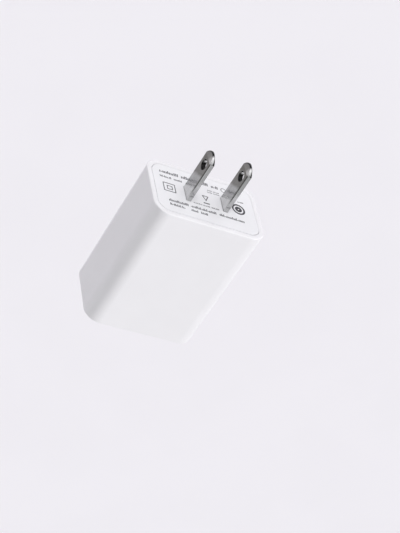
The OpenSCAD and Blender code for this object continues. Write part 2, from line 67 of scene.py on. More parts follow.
plug_low, plug_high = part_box("plug_cover")
PLUG_COVER_MM = 2.0
PLUG_W_MM = (plug_high.x - plug_low.x) / MM
PLUG_H_MM = (plug_high.z - plug_low.z) / MM
PLUG_SEAM_MM = 0.07
PLUG_EDGE_MM = 0.12
SLOT_GAP_MM = 0.04
BOSS_MARGIN_MM = 2.0
POCKET_R_MM = CORNER_MM - WALL_MM + 0.3

usb_low, usb_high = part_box("usb_cover")
PANEL_W_MM = (usb_high.x - usb_low.x) / MM
PANEL_H_MM = (usb_high.z - usb_low.z) / MM
PANEL_R_MM = 3.25
PANEL_T_MM = 2.8
PANEL_BACK_MM = PANEL_T_MM - LENGTH_MM
DISH_MM = 1.4
DISH_SPAN = 0.9
DISH_CURVE = 1.6
DISH_CORNER_POWER = 1.15
DISH_CORNER_MM = 0.35
LIP_MM = 0.4
SEAM_EDGE_MM = 0.07
INNER_W_MM = WIDTH_MM - 2 * WALL_MM
INNER_H_MM = THICK_MM - 2 * WALL_MM
INNER_R_MM = CORNER_MM - WALL_MM
ARM_X_MM = 9.0
ARM_W_MM = 5.0
ARM_T_MM = 1.0
ARM_GAP_MM = 0.95
ARM_Z_MM = INNER_H_MM / 2 - ARM_GAP_MM
ARM_SUNK_MM = 0.1
ARM_ROUND_MM = 0.15
BARB_MM = 0.3
BARB_T_MM = 1.0

shell_low, shell_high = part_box("usb_shell")
MOUTH_Y_MM = shell_low.y / MM
SHELL_END_MM = shell_high.y / MM
PORT_W_MM = 12.5
PORT_H_MM = 5.12
SHEET_MM = 0.3
MOUTH_GAP_MM = 0.1
MOUTH_EDGE_MM = 0.15
OPENING_W_MM = PORT_W_MM + 2 * MOUTH_GAP_MM
OPENING_H_MM = PORT_H_MM + 2 * MOUTH_GAP_MM
SHELL_W_MM = PORT_W_MM + 2 * SHEET_MM
SHELL_H_MM = PORT_H_MM + 2 * SHEET_MM
OPENING_CORNER_MM = 0.3
NOSE_GAP_MM = 0.1
NOSE_CORNER_MM = 0.4

blade_low, blade_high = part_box("blade_right")
BLADE_X_MM = (blade_low.x + blade_high.x) / 2 / MM
BLADE_T_MM = (blade_high.x - blade_low.x) / MM
BLADE_W_MM = 6.35
BLADE_TIP_MM = blade_high.y / MM
BLADE_TAIL_MM = blade_low.y / MM
BLADE_HOLE_MM = 3.18
BLADE_HOLE_Y_MM = 11.8
TIP_MM = 2.1
TIP_THICK_MM = 0.5
NEAR_EDGE_MM = 0.4
FAR_EDGE_MM = 0.08
HOLE_LIP_MM = 0.35
SHOULDER_MM = 0.8
SHOULDER_L_MM = 1.4

# ---------- camera ----------

CAMERA_AT = (-0.1842, 0.2302, 0.3210)
CAMERA_FORWARD = Vector((0.431, -0.562, -0.706)).normalized()
CAMERA_UP = Vector((-0.246, 0.680, -0.691))
CAMERA_LENS = 98.3


def make_camera():
    data = bpy.data.cameras.new("camera")
    data.sensor_width = 36
    data.lens = CAMERA_LENS
    data.clip_start = 0.01
    data.clip_end = 50
    camera = bpy.data.objects.new("camera", data)
    bpy.context.scene.collection.objects.link(camera)
    right = CAMERA_FORWARD.cross(CAMERA_UP).normalized()
    up = right.cross(CAMERA_FORWARD)
    turn = Matrix((right, up, -CAMERA_FORWARD)).transposed()
    camera.matrix_world = Matrix.Translation(CAMERA_AT) @ turn.to_4x4()
    bpy.context.scene.camera = camera


make_camera()

# ---------- material graphs ----------


class Graph:
    """A material's node tree with short calls for the nodes that the materials here share."""

    def __init__(self, name):
        self.material = bpy.data.materials.new(name)
        self.material.use_nodes = True
        self.tree = self.material.node_tree
        self.shader = self.tree.nodes["Principled BSDF"]
        where = self.add("ShaderNodeTexCoord")
        self.place = where.outputs["Object"]
        self.generated = where.outputs["Generated"]
        self.normal = where.outputs["Normal"]

    def add(self, kind, **settings):
        node = self.tree.nodes.new(kind)
        for key, value in settings.items():
            setattr(node, key, value)
        return node

    def join(self, source, target):
        if isinstance(source, bpy.types.NodeSocket):
            self.tree.links.new(source, target)
        else:
            target.default_value = source

    def set(self, **values):
        for key, value in values.items():
            self.shader.inputs[key.replace("_", " ")].default_value = value

    def scaled(self, stretch):
        node = self.add("ShaderNodeMapping")
        self.join(self.place, node.inputs["Vector"])
        node.inputs["Scale"].default_value = stretch
        return node.outputs["Vector"]

    def noise(self, size_mm, detail=3, stretch=None, roughness=0.5):
        """Noise whose features are about size_mm wide."""
        node = self.add("ShaderNodeTexNoise")
        self.join(self.scaled(stretch) if stretch else self.place, node.inputs["Vector"])
        node.inputs["Scale"].default_value = 1 / (size_mm * MM)
        node.inputs["Detail"].default_value = detail
        node.inputs["Roughness"].default_value = roughness
        return node.outputs["Fac"]

    def ramp(self, value, start, end, low=0.0, high=1.0, smooth=True):
        """Maps value from start..end to low..high."""
        node = self.add("ShaderNodeMapRange", interpolation_type="SMOOTHSTEP" if smooth else "LINEAR")
        self.join(value, node.inputs["Value"])
        node.inputs["From Min"].default_value = start
        node.inputs["From Max"].default_value = end
        node.inputs["To Min"].default_value = low
        node.inputs["To Max"].default_value = high
        return node.outputs["Result"]

    def math(self, operation, a, b=0.0):
        node = self.add("ShaderNodeMath", operation=operation)
        self.join(a, node.inputs[0])
        self.join(b, node.inputs[1])
        return node.outputs[0]

    def mix(self, factor, a, b):
        node = self.add("ShaderNodeMix", data_type="RGBA")
        self.join(factor, node.inputs["Factor"])
        for socket, value in ((node.inputs[6], a), (node.inputs[7], b)):
            self.join(value if isinstance(value, bpy.types.NodeSocket) else (*value, 1), socket)
        return node.outputs[2]

    def fade(self, place, start_mm, end_mm, before, after):
        """Colour that turns from before into after as a place goes from start_mm to end_mm."""
        return self.mix(self.ramp(place, start_mm * MM, end_mm * MM), before, after)

    def split(self, vector, name):
        node = self.add("ShaderNodeSeparateXYZ")
        self.join(vector, node.inputs[0])
        return node.outputs[name]

    def axis(self, name):
        return self.split(self.place, name)

    def normal_axis(self, name):
        return self.split(self.normal, name)

    def bump(self, height, depth_mm, strength=1.0, under=None):
        node = self.add("ShaderNodeBump")
        self.join(height, node.inputs["Height"])
        node.inputs["Distance"].default_value = depth_mm * MM
        node.inputs["Strength"].default_value = strength
        if under:
            self.join(under, node.inputs["Normal"])
        return node.outputs["Normal"]

    def base(self, value):
        self.join(value, self.shader.inputs["Base Color"])

    def rough(self, value):
        self.join(value, self.shader.inputs["Roughness"])

    def relief(self, value):
        self.join(value, self.shader.inputs["Normal"])


ALONG_Y = (1, 0.05, 1)


def tint(color, factor):
    return tuple(min(1.0, channel * factor) for channel in color)


def grey(level):
    return (level, level, level)


def moulded(name, color, roughness=0.34, grain_mm=0.25, relief_mm=0.004, spread=0.05, cloud=0.006):
    """Moulded plastic: a fine spark-eroded grain, slow changes of gloss and a trace of cloudiness."""
    g = Graph(name)
    grain = g.noise(grain_mm, detail=2)
    slow = g.noise(9.0, detail=2)
    smudge = g.noise(2.6, detail=4, roughness=0.6)
    g.base(g.mix(g.ramp(slow, 0.3, 0.7), tint(color, 1 - cloud), tint(color, 1 + cloud)))
    smudged = g.ramp(smudge, 0.35, 0.75, -spread / 2, spread / 2)
    grained = g.ramp(grain, 0.3, 0.7, 0, spread / 2)
    g.rough(g.math("ADD", g.math("ADD", smudged, grained), roughness))
    wave = g.bump(slow, 0.006, 0.2)
    g.relief(g.bump(grain, relief_mm, 0.5, under=wave))
    g.set(Specular_IOR_Level=0.5)
    return g.material


def sheet_metal(name, color, roughness=0.28, dull=0.12):
    """Rolled or plated sheet: fine lines along Y and patches of duller plating."""
    g = Graph(name)
    lines = g.noise(0.12, detail=3, stretch=ALONG_Y, roughness=0.6)
    patch = g.noise(2.2, detail=4, roughness=0.6)
    g.base(g.mix(g.ramp(patch, 0.35, 0.7), color, tint(color, 1 - dull)))
    scratched = g.ramp(lines, 0.3, 0.7, -0.05, 0.08)
    dulled = g.ramp(patch, 0.3, 0.75, roughness, roughness + dull)
    g.rough(g.math("ADD", scratched, dulled))
    g.relief(g.bump(lines, 0.002, 0.6))
    g.set(Metallic=1.0)
    return g.material


def casing_plastic():
    return moulded("white_plastic", (0.885, 0.878, 0.893), roughness=0.33, grain_mm=0.22, relief_mm=0.003)


def plug_plastic():
    return moulded("plug_panel_plastic", (0.88, 0.88, 0.895), roughness=0.38, grain_mm=0.16, relief_mm=0.004)


def panel_plastic():
    return moulded("usb_panel_plastic", (0.86, 0.857, 0.872), roughness=0.36, grain_mm=0.18, relief_mm=0.004)


def tongue_plastic():
    return moulded("tongue_plastic", (0.50, 0.50, 0.50), roughness=0.5, grain_mm=0.12, relief_mm=0.003)


# Colour of the painted highlights on the blade's tip and hole lip.
PAINTED_HIGHLIGHT = (0.9, 0.9, 0.89)


def face_painted_reflections(g, along, across, patch):
    """The blade's flat face with painted reflections: bright at the root, then darker in three steps, the
    first two slanting.
    """
    uneven = g.ramp(patch, 0.2, 0.8, -0.3 * MM, 0.3 * MM)
    root = g.math("ADD", g.math("ADD", along, g.math("MULTIPLY", across, -0.65)), uneven)
    middle = g.math("ADD", g.math("ADD", along, g.math("MULTIPLY", across, -0.5)), uneven)
    face = g.fade(root, 2.2, 3.8, grey(0.66), grey(0.42))
    face = g.fade(middle, 7.0, 8.6, face, (0.19, 0.187, 0.175))
    return g.fade(along, 11.5, 13.5, face, (0.135, 0.132, 0.118))


def blade_plating():
    """Nickel plate on brass, its light and dark painted on as reflections: bright at the root and darker in
    steps towards the tip, dark along its edges and across the tip's end, lighter on the narrow sides, and
    painted highlights on the coined tip, the tip's corner and the hole's lip.
    """
    g = Graph("nickel_plate")
    lines = g.noise(0.16, detail=4, stretch=(1, 0.04, 1), roughness=0.65)
    long_lines = g.noise(0.5, detail=3, stretch=ALONG_Y)
    patch = g.noise(1.8, detail=4, roughness=0.6)
    along = g.axis("Y")
    across = g.axis("Z")
    nx = g.math("ABSOLUTE", g.normal_axis("X"))
    nz = g.math("ABSOLUTE", g.normal_axis("Z"))
    ny = g.normal_axis("Y")

    # Painted reflection on the coined tip: dark near the blade's middle, turning into a painted highlight
    # towards +Z.
    coined_tip_painted_light = g.fade(across, 0.0, 2.2, (0.27, 0.265, 0.25), (0.85, 0.84, 0.82))
    color = g.mix(g.ramp(ny, 0.16, 0.20), face_painted_reflections(g, along, across, patch), coined_tip_painted_light)

    # Painted dark reflection on the rounded edges, from a little past the root.
    past_root = g.ramp(along, 1.5 * MM, 5.5 * MM)
    edge_painted_dark_reflection = g.math("MULTIPLY", g.ramp(nx, 0.985, 0.95), past_root)
    color = g.mix(edge_painted_dark_reflection, color, (0.17, 0.168, 0.16))

    # Painted reflection on the narrow sides: lighter, and lighter still towards the tip.
    narrow_side_painted_reflection = g.fade(along, 4.0, 7.0, grey(0.56), grey(0.84))
    color = g.mix(g.ramp(nz, 0.93, 0.985), color, narrow_side_painted_reflection)

    # Painted dark reflection across the tip's end, with a painted highlight at its corner towards +Z on the
    # -X side.
    thickness = g.split(g.generated, "X")
    tip_painted_highlight = g.math("MULTIPLY", g.ramp(across, 0.8 * MM, 1.8 * MM), g.ramp(thickness, 0.66, 0.60))
    tip_end_painted_light = g.math("MULTIPLY", g.ramp(ny, 0.22, 0.30), g.ramp(nx, 0.955, 0.92))
    color = g.mix(tip_end_painted_light, color, g.mix(tip_painted_highlight, grey(0.02), PAINTED_HIGHLIGHT))

    # Painted highlight on the lip of the hole.
    hole_lip_painted_highlight = g.math("MULTIPLY", g.ramp(ny, -0.03, -0.10), g.ramp(g.normal_axis("Z"), -0.03, -0.10))
    color = g.mix(hole_lip_painted_highlight, color, PAINTED_HIGHLIGHT)

    streak = g.ramp(long_lines, 0.3, 0.7, 0.0, 0.16)
    g.base(g.mix(streak, color, (0.05, 0.05, 0.048)))
    g.rough(g.math("ADD", g.ramp(lines, 0.3, 0.7, -0.03, 0.05), g.ramp(patch, 0.3, 0.8, 0.15, 0.22)))
    g.relief(g.bump(lines, 0.002, 0.6))
    g.set(Metallic=1.0)
    return g.material


def print_ink():
    """Pad-printed ink, thin in places."""
    g = Graph("print_ink")
    thin = g.noise(0.22, detail=3, roughness=0.7)
    g.base(g.mix(g.ramp(thin, 0.45, 0.75), (0.022, 0.022, 0.028), (0.12, 0.12, 0.13)))
    g.rough(g.ramp(thin, 0.3, 0.7, 0.45, 0.7))
    g.relief(g.bump(thin, 0.004, 0.5))
    return g.material


def board_laminate():
    """Green solder mask over glass cloth, with copper lands showing as paler strips."""
    g = Graph("board_laminate")
    weave = g.add("ShaderNodeTexWave", wave_type="BANDS", bands_direction="DIAGONAL")
    g.join(g.scaled((1, 1, 1)), weave.inputs["Vector"])
    weave.inputs["Scale"].default_value = 900
    weave.inputs["Distortion"].default_value = 1.5
    lands = g.add("ShaderNodeTexVoronoi", distance="CHEBYCHEV", feature="F1")
    g.join(g.scaled((1, 1, 0)), lands.inputs["Vector"])
    lands.inputs["Scale"].default_value = 260
    copper = g.ramp(lands.outputs["Distance"], 0.34, 0.38)
    g.base(g.mix(copper, (0.035, 0.20, 0.075), (0.02, 0.12, 0.045)))
    g.rough(g.ramp(weave.outputs["Fac"], 0, 1, 0.3, 0.42))
    g.relief(g.bump(copper, 0.03, 0.5))
    return g.material


def ferrite():
    g = Graph("ferrite")
    grain = g.noise(0.1, detail=5, roughness=0.75)
    g.base(g.mix(g.ramp(grain, 0.35, 0.7), (0.035, 0.035, 0.038), (0.075, 0.073, 0.072)))
    g.rough(g.ramp(grain, 0.3, 0.7, 0.55, 0.8))
    g.relief(g.bump(grain, 0.02, 0.7))
    return g.material


def wound_wire():
    """Enamelled wire in turns about 0.2 mm apart, stacked along Z."""
    g = Graph("copper_wire")
    turns = g.add("ShaderNodeTexWave", wave_type="BANDS", bands_direction="Z", wave_profile="SIN")
    g.join(g.place, turns.inputs["Vector"])
    turns.inputs["Scale"].default_value = 1600
    turns.inputs["Distortion"].default_value = 0.4
    # Dark between the turns and light on their crowns, with the same pattern as the bump: painted shade in
    # the grooves.
    g.base(g.mix(turns.outputs["Fac"], (0.22, 0.055, 0.018), (0.62, 0.22, 0.08)))
    g.rough(g.ramp(turns.outputs["Fac"], 0, 1, 0.45, 0.25))
    g.relief(g.bump(turns.outputs["Fac"], 0.08, 0.8))
    g.set(Metallic=0.7)
    return g.material


def wrapped_tape():
    """Yellow polyester tape in overlapping layers with small wrinkles."""
    g = Graph("yellow_tape")
    wrinkle = g.noise(1.3, detail=4, stretch=(1, 0.35, 1), roughness=0.6)
    layers = g.noise(3.0, detail=1, stretch=(0.2, 1, 0.2))
    g.base(g.mix(g.ramp(layers, 0.35, 0.65), (0.78, 0.55, 0.05), (0.88, 0.68, 0.12)))
    g.rough(g.ramp(wrinkle, 0.3, 0.7, 0.22, 0.4))
    g.relief(g.bump(wrinkle, 0.12, 0.5))
    return g.material


def capacitor_can(name, sleeve, stripe):
    """Shrunk sleeve round an aluminium can, with a paler stripe down one side and a bare top."""
    g = Graph(name)
    fine = g.noise(0.5, detail=3)
    band = g.ramp(g.normal_axis("X"), 0.82, 0.86)
    wrap = g.mix(band, g.mix(g.ramp(fine, 0.3, 0.7), sleeve, tint(sleeve, 1.3)), stripe)
    bare = g.ramp(g.normal_axis("Z"), 0.85, 0.95)
    g.base(g.mix(bare, wrap, (0.62, 0.62, 0.63)))
    g.rough(g.ramp(fine, 0.3, 0.7, 0.28, 0.42))
    g.join(bare, g.shader.inputs["Metallic"])
    g.relief(g.bump(fine, 0.02, 0.4))
    return g.material


def ceramic_dip(name, color, spread=0.15):
    """Ceramic body dipped in lacquer, slightly orange-peeled."""
    g = Graph(name)
    peel = g.noise(0.6, detail=3)
    g.base(g.mix(g.ramp(peel, 0.3, 0.7), color, tint(color, 1 + spread)))
    g.rough(g.ramp(peel, 0.3, 0.7, 0.25, 0.5))
    g.relief(g.bump(peel, 0.05, 0.5))
    return g.material


def banded_resistor():
    """Tan resistor body with plain colour bands across it, spaced along X from the body's middle."""
    g = Graph("resistor_body")
    bands = ((-2.2, (0.25, 0.05, 0.03)), (-0.8, grey(0.03)), (0.6, (0.6, 0.42, 0.1)))
    low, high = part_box("fusible_resistor")
    middle = (low.x + high.x) / 2
    peel = g.noise(0.4, detail=3)
    color = g.mix(g.ramp(peel, 0.3, 0.7), (0.42, 0.32, 0.19), (0.50, 0.39, 0.24))
    for offset_mm, band in bands:
        away = g.math("ABSOLUTE", g.math("SUBTRACT", g.axis("X"), middle + offset_mm * MM))
        color = g.fade(away, 0.34, 0.3, color, band)
    g.base(color)
    g.rough(g.ramp(peel, 0.3, 0.7, 0.35, 0.55))
    g.relief(g.bump(peel, 0.04, 0.4))
    return g.material


WHITE = casing_plastic()
PLUG_WHITE = plug_plastic()
PANEL_WHITE = panel_plastic()
TONGUE = tongue_plastic()
NICKEL = blade_plating()
INK = print_ink()
TIN = sheet_metal("tin_plate", (0.62, 0.63, 0.65), roughness=0.3)
# Near-black steel for the socket's shell and springs: painted shade, standing for the dark inside of the
# socket.
DARK_STEEL_FOR_SHADE = sheet_metal("dark_steel", (0.045, 0.045, 0.05), roughness=0.34)
GOLD = sheet_metal("gold_plate", (0.80, 0.58, 0.25), roughness=0.2)
BRONZE = sheet_metal("spring_bronze", (0.55, 0.34, 0.17), roughness=0.3)
BLACK = moulded("black_plastic", (0.022, 0.022, 0.024), roughness=0.5, grain_mm=0.2, relief_mm=0.01)
CAD_MATERIALS = {
    "white_plastic": WHITE,
    "plug_panel": PLUG_WHITE,
    "usb_panel": PANEL_WHITE,
    "nickel_plate": NICKEL,
    "tin_plate": TIN,
    "dark_steel": DARK_STEEL_FOR_SHADE,
    "gold_plate": GOLD,
    "spring_bronze": BRONZE,
    "board": board_laminate(),
    "black_plastic": BLACK,
    "tongue_plastic": TONGUE,
    "resistor_body": banded_resistor(),
    "ferrite": ferrite(),
    "copper_wire": wound_wire(),
    "yellow_tape": wrapped_tape(),
    "can_dark": capacitor_can("can_dark", (0.03, 0.045, 0.04), (0.55, 0.55, 0.5)),
    "can_blue": capacitor_can("can_blue", (0.02, 0.035, 0.16), (0.5, 0.52, 0.55)),
    "disc_blue": ceramic_dip("disc_blue", (0.05, 0.16, 0.45)),
    "chip_ceramic": ceramic_dip("chip_ceramic", (0.42, 0.30, 0.18)),
}

for part in frame["record"]["subparts"]:
    mesh = frame["nodes"][part["node"]].data
    mesh.materials.clear()
    mesh.materials.append(CAD_MATERIALS[part["material_slot"]])

# ---------- mesh helpers ----------


def rounded_outline(w, h, r, arc=10, side=1):
    """Points (x, z) in millimetres round a rectangle with round corners, anticlockwise from the right."""
    points = []
    right, top = w / 2 - r, h / 2 - r
    corners = ((right, top, 0), (-right, top, 90), (-right, -top, 180), (right, -top, 270))
    for k, (cx, cz, turn) in enumerate(corners):
        for i in range(arc + 1):
            a = math.radians(turn + 90 * i / arc)
            points.append((cx + r * math.cos(a), cz + r * math.sin(a)))
        nx, nz, next_turn = corners[(k + 1) % 4]
        a = math.radians(next_turn)
        end = (nx + r * math.cos(a), nz + r * math.sin(a))
        start = points[-1]
        for i in range(1, side):
            f = i / side
            points.append((start[0] + (end[0] - start[0]) * f, start[1] + (end[1] - start[1]) * f))
    return points


def finish_mesh(mesh, name, material, body=CHARGER, nodes=(), sharp=32):
    """Makes mesh a smooth-shaded piece that rides on body and stands for nodes."""
    mesh.materials.clear()
    mesh.materials.append(material)
    mesh.shade_smooth()
    mesh.set_sharp_from_angle(angle=math.radians(sharp))
    piece = bpy.data.objects.new(name, mesh)
    bpy.context.scene.collection.objects.link(piece)
    weight = piece.modifiers.new("even_shading", "WEIGHTED_NORMAL")
    weight.keep_sharp = True
    weight.weight = 50
    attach(piece, body)
    if nodes:
        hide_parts(*nodes)


def ring_loft(rings, closed=True, caps=False):
    """Mesh through rings of equal length, each a list of points in millimetres."""
    mesh = bpy.data.meshes.new("loft")
    count = len(rings[0])
    points = [Vector(p) * MM for ring in rings for p in ring]
    faces = []
    last = len(rings) if closed else len(rings) - 1
    for r in range(last):
        a, b = r * count, ((r + 1) % len(rings)) * count
        for k in range(count):
            n = (k + 1) % count
            faces.append((a + k, a + n, b + n, b + k))
    if caps:
        faces.append(tuple(reversed(range(count))))
        faces.append(tuple(range((len(rings) - 1) * count, len(rings) * count)))
    mesh.from_pydata(points, [], faces)
    fix = bmesh.new()
    fix.from_mesh(mesh)
    bmesh.ops.recalc_face_normals(fix, faces=fix.faces)
    fix.to_mesh(mesh)
    fix.free()
    return mesh


def sleeve_rings(steps, arc=10, side=1):
    """Rings for ring_loft from steps of (y, width, height, corner radius)."""
    return [[(x, y, z) for x, z in rounded_outline(w, h, r, arc, side)] for y, w, h, r in steps]


def fillet_steps(y, w, h, r, size, turn, away, count=6):
    """Steps round an edge between a face across Y and a wall along it.

    y, w, h and r give the sharp edge. turn is 1 for an outer edge and -1 for the edge of an opening.
    away is the way along Y from the edge into the part. The steps run from the wall to the face.
    """
    steps = []
    for i in range(count + 1):
        a = math.radians(90 * i / count)
        inset = size * (1 - math.cos(a)) * turn
        reach = y + away * size * (1 - math.sin(a))
        steps.append((reach, w - 2 * inset, h - 2 * inset, max(r - inset, 0.05)))
    return steps


def box_mesh(low, high, bevel_mm=0.1, segments=2):
    """Bevelled box between two corners in millimetres, as a bmesh."""
    part = bmesh.new()
    size = [b - a for a, b in zip(low, high)]
    middle = [(a + b) / 2 for a, b in zip(low, high)]
    bmesh.ops.create_cube(part, size=1)
    bmesh.ops.scale(part, vec=size, verts=part.verts)
    bmesh.ops.translate(part, vec=middle, verts=part.verts)
    if bevel_mm:
        edges = part.edges[:]
        bmesh.ops.bevel(part, geom=edges, offset=bevel_mm, segments=segments, profile=0.5, affect="EDGES")
    bmesh.ops.scale(part, vec=(MM, MM, MM), verts=part.verts)
    return part


def joined(parts):
    """One mesh from several bmeshes or meshes."""
    whole = bmesh.new()
    for part in parts:
        mesh = part
        if isinstance(part, bmesh.types.BMesh):
            mesh = bpy.data.meshes.new("part")
            part.to_mesh(mesh)
            part.free()
        whole.from_mesh(mesh)
        bpy.data.meshes.remove(mesh)
    mesh = bpy.data.meshes.new("joined")
    whole.to_mesh(mesh)
    whole.free()
    return mesh


def applied(obj):
    """The object's mesh with its modifiers or curve bevels applied. The object goes."""
    bpy.context.view_layer.update()
    graph = bpy.context.evaluated_depsgraph_get()
    mesh = bpy.data.meshes.new_from_object(obj.evaluated_get(graph))
    data = obj.data
    bpy.data.objects.remove(obj)
    if isinstance(data, bpy.types.Curve):
        bpy.data.curves.remove(data)
    return mesh


def flat_plate(outlines, depth, bevel, to_world, segments=3):
    """Plate with rounded edges from outlines in millimetres; an outline inside another is a hole."""
    curve = bpy.data.curves.new("plate", "CURVE")
    curve.dimensions = "2D"
    curve.fill_mode = "BOTH"
    for outline in outlines:
        spline = curve.splines.new("POLY")
        spline.points.add(len(outline) - 1)
        spline.use_cyclic_u = True
        for point, (u, v) in zip(spline.points, outline):
            point.co = (u, v, 0, 1)
    curve.extrude = depth / 2 - bevel
    curve.bevel_depth = bevel
    curve.bevel_resolution = segments
    curve.offset = -bevel
    obj = bpy.data.objects.new("plate", curve)
    bpy.context.scene.collection.objects.link(obj)
    mesh = applied(obj)
    mesh.transform(Matrix.Scale(MM, 4) @ to_world)
    fix = bmesh.new()
    fix.from_mesh(mesh)
    bmesh.ops.remove_doubles(fix, verts=fix.verts, dist=1e-7)
    bmesh.ops.recalc_face_normals(fix, faces=fix.faces)
    fix.to_mesh(mesh)
    fix.free()
    return mesh


def upright(y):
    """Turns plate coordinates (x, z, depth) into the frame's, with the plate's middle at y."""
    return Matrix(((1, 0, 0, 0), (0, 0, -1, y), (0, 1, 0, 0), (0, 0, 0, 1)))


def cut(mesh, cutters):
    """The mesh with each cutter bmesh taken out of it."""
    obj = bpy.data.objects.new("cut", mesh)
    bpy.context.scene.collection.objects.link(obj)
    tool = bpy.data.objects.new("cutter", joined(cutters))
    bpy.context.scene.collection.objects.link(tool)
    change = obj.modifiers.new("cut", "BOOLEAN")
    change.operation = "DIFFERENCE"
    change.solver = "EXACT"
    change.use_self = True
    change.object = tool
    result = applied(obj)
    bpy.data.objects.remove(tool)
    return result


def circle_points(cx, cy, r, count=48, start=0, sweep=360):
    """Points round a circle, or along an arc with both its ends, from start degrees through sweep."""
    turns = count if sweep == 360 else count + 1
    angles = [math.radians(start + sweep * i / count) for i in range(turns)]
    return [(cx + r * math.cos(a), cy + r * math.sin(a)) for a in angles]


# ---------- casing ----------


def make_casing():
    """The sleeve: rounded outside, soft end rims, and a stepped bore that holds both covers."""
    usb_y = -LENGTH_MM
    ledge_y = -PLUG_COVER_MM
    outer = (WIDTH_MM, THICK_MM, CORNER_MM)
    inner = (INNER_W_MM, INNER_H_MM, INNER_R_MM)
    pocket = (PLUG_W_MM + 2 * PLUG_SEAM_MM, INNER_H_MM, POCKET_R_MM)
    steps = []
    steps += reversed(fillet_steps(usb_y, *outer, END_ROUND_MM, 1, 1, count=8))
    steps += fillet_steps(0, *outer, END_ROUND_MM, 1, -1, count=8)
    steps += reversed(fillet_steps(0, *pocket, POCKET_EDGE_MM, -1, -1, count=4))
    steps += [(ledge_y, *pocket), (ledge_y, *inner)]
    steps += fillet_steps(usb_y, *inner, SEAM_EDGE_MM, -1, 1, count=4)
    mesh = ring_loft(sleeve_rings(steps, arc=16))
    finish_mesh(mesh, "casing_shell", WHITE, nodes=["casing"])


make_casing()

# ---------- plug cover with its printed marks ----------


def slot_outline(x, w, h, r=0.1):
    return [(px + x, pz) for px, pz in rounded_outline(w, h, r, arc=3)]


def make_plug_cover():
    """Flush cover with a slot round each blade and two bosses behind it."""
    outlines = [rounded_outline(PLUG_W_MM, PLUG_H_MM, POCKET_R_MM - PLUG_SEAM_MM, arc=12)]
    slot = (BLADE_T_MM + 2 * SLOT_GAP_MM, BLADE_W_MM + 2 * SLOT_GAP_MM)
    for s in (-1, 1):
        outlines.append(slot_outline(s * BLADE_X_MM, *slot))
    plate = flat_plate(outlines, PLUG_COVER_MM, PLUG_EDGE_MM, upright(-PLUG_COVER_MM / 2))
    parts = [plate]
    boss_x = BLADE_T_MM / 2 + BOSS_MARGIN_MM
    boss_z = BLADE_W_MM / 2 + BOSS_MARGIN_MM
    for s in (-1, 1):
        low = (s * BLADE_X_MM - boss_x, plug_low.y / MM, -boss_z)
        high = (s * BLADE_X_MM + boss_x, OVERLAP_MM - PLUG_COVER_MM, boss_z)
        parts.append(box_mesh(low, high, 0.3, 3))
    finish_mesh(joined(parts), "plug_cover_plate", PLUG_WHITE, nodes=["plug_cover"])


make_plug_cover()

INK_MM = 0.012
INK_SUNK_MM = 0.004
INK_EDGE_MM = 0.003

# Each row of ticks: its left and right ends, its place on the face, the ticks' height, and how many groups.
PRINT_ROWS_MM = (
    (-14.8, -8.2, -7.3, 1.3, 1),
    (-7.4, -2.6, -7.3, 1.3, 1),
    (-1.8, 2.2, -7.3, 1.3, 1),
    (3.0, 5.6, -7.2, 1.2, 1),
    (-14.9, -10.9, -5.0, 0.85, 1),
    (-10.2, -7.4, -5.0, 0.85, 1),
    (1.2, 5.4, -4.75, 0.45, 2),
    (1.2, 5.4, -3.85, 0.45, 2),
    (11.7, 13.9, -3.6, 0.5, 1),
    (-4.9, 4.0, 3.2, 0.5, 3),
    (-13.4, 12.4, 5.35, 1.05, 3),
    (-13.3, -8.0, 7.15, 0.95, 1),
    (-6.2, -0.4, 7.15, 0.95, 2),
)
FIRST_SEED = 11

# shares of a row's height
TICK_PITCH = 0.42
SHORT_TICK = 0.68
GROUP_GAP = 0.8
DOT_HEIGHT = 0.24
DOT_LIFT = 0.2

# shares of the ticks' pitch
TICK_WIDTH = 0.62
DOT_WIDTH = 0.7

TALL_CHANCE = 0.35
DOT_CHANCE = 0.1


def ink_box(x, z, w, h):
    """One stroke of ink on the plug face, centred at x, z."""
    low = (x - w / 2, -INK_SUNK_MM, z - h / 2)
    high = (x + w / 2, INK_MM, z + h / 2)
    return box_mesh(low, high, 0)


def tick_row(x0, x1, z, height, groups, seed):
    """A row of plain ticks and dots in groups, the rhythm of small print with no letters in it."""
    draw = random.Random(seed)
    pitch = height * TICK_PITCH
    gap = height * GROUP_GAP
    shares = [draw.uniform(0.7, 1.3) for _ in range(groups)]
    room = (x1 - x0 - gap * (groups - 1)) / sum(shares)
    parts = []
    x = x0
    for share in shares:
        end = x + share * room
        while x + pitch / 2 < end:
            kind = draw.random()
            middle = x + pitch / 2
            if kind > 1 - DOT_CHANCE:
                parts.append(ink_box(middle, z + height * DOT_LIFT, pitch * DOT_WIDTH, height * DOT_HEIGHT))
            else:
                tall = height if kind < TALL_CHANCE else height * SHORT_TICK
                parts.append(ink_box(middle, z + (height - tall) / 2, pitch * TICK_WIDTH, tall))
            x += pitch
        x = end + gap
    return parts


def outline_mark(outlines):
    """A mark on the plug face from its outlines."""
    middle = (INK_MM - INK_SUNK_MM) / 2
    return flat_plate(outlines, INK_MM + INK_SUNK_MM, INK_EDGE_MM, upright(middle), 1)


def ring_mark(x, z, r, stroke):
    return outline_mark([circle_points(x, z, r), circle_points(x, z, r - stroke)])


def square_mark(x, z, w, h, stroke):
    outer = rounded_outline(w, h, 0.15, arc=3)
    inner = rounded_outline(w - 2 * stroke, h - 2 * stroke, 0.08, arc=3)
    return outline_mark([[(px + x, pz + z) for px, pz in outline] for outline in (outer, inner)])


